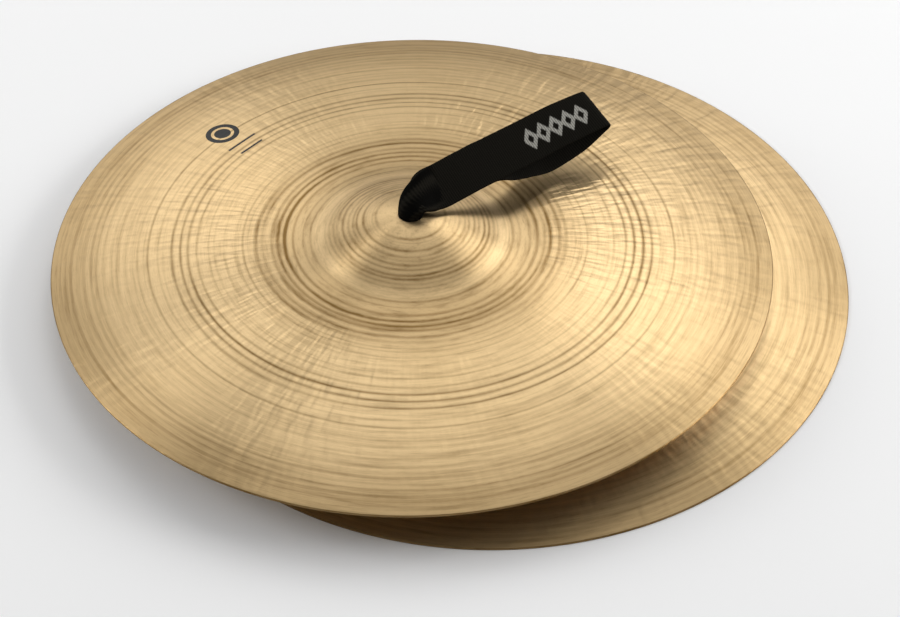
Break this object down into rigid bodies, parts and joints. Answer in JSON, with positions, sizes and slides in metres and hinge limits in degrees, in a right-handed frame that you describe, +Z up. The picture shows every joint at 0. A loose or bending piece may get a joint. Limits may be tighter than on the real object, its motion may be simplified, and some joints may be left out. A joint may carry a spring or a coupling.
{
  "type": "hand cymbals",
  "caption": "Pair of hand cymbals: thin domed bronze discs with raised bells, each held by a webbing loop with a toggle bar and washers inside the bell.",
  "frame": {"origin": "middle of the bottom of the pair's box, on the surface the lower rim lies on", "axes": "+Z up out of the bells, +X from the upper cymbal towards the uncovered side of the lower one"},
  "size_m": [0.4502, 0.4076, 0.0739],
  "materials": {
    "bronze": "lathed and hammered",
    "webbing": "woven nylon",
    "thread": "bonded thread",
    "leather": "vegetable tanned",
    "steel": "zinc plated",
    "rubber": "matte"
  },
  "bodies": {
    "lower_cymbal": {"lower_cymbal": "bronze"},
    "lower_anchor": {"lower_leather_washer": "leather", "lower_steel_washer": "steel", "lower_toggle_bar": "steel", "lower_bar_caps": "rubber", "lower_eye_stitches": "thread", "lower_strap_tail": "webbing"},
    "lower_handle": {"lower_strap_loop": "webbing"},
    "upper_cymbal": {"upper_cymbal": "bronze"},
    "upper_anchor": {"upper_leather_washer": "leather", "upper_steel_washer": "steel", "upper_toggle_bar": "steel", "upper_bar_caps": "rubber", "upper_eye_stitches": "thread", "upper_strap_tail": "webbing"},
    "upper_handle": {"upper_strap_loop": "webbing"}
  },
  "joints": [
    {"name": "upper_lift", "type": "slide", "parent": "lower_cymbal", "child": "upper_cymbal", "axis": [0, 0, 1], "range_m": [0, 0.26]},
    {"name": "upper_strap_swivel", "type": "hinge", "parent": "upper_cymbal", "child": "upper_anchor", "pos_m": [-0.02185, -0.00073, 0.0183], "axis": [-0.0093, 0.0408, 0.9991], "continuous": true},
    {"name": "upper_strap_fold", "type": "hinge", "parent": "upper_anchor", "child": "upper_handle", "pos_m": [-0.02227, 0.00112, 0.06376], "axis": [0.6428, -0.7652, 0.0372], "range_deg": [0, 155]},
    {"name": "lower_strap_swivel", "type": "hinge", "parent": "lower_cymbal", "child": "lower_anchor", "pos_m": [0.02185, 0.00056, 0], "axis": [0, 0, 1], "range_deg": [-8, 8]},
    {"name": "lower_strap_fold", "type": "hinge", "parent": "lower_anchor", "child": "lower_handle", "pos_m": [0.02185, 0.00056, 0.0406], "axis": [-0.2924, 0.9563, 0], "range_deg": [0, 90]}
  ],
  "couplings": [
    {"joint": "lower_strap_fold", "follows": "upper_lift", "rad_per_m": 6}
  ]
}
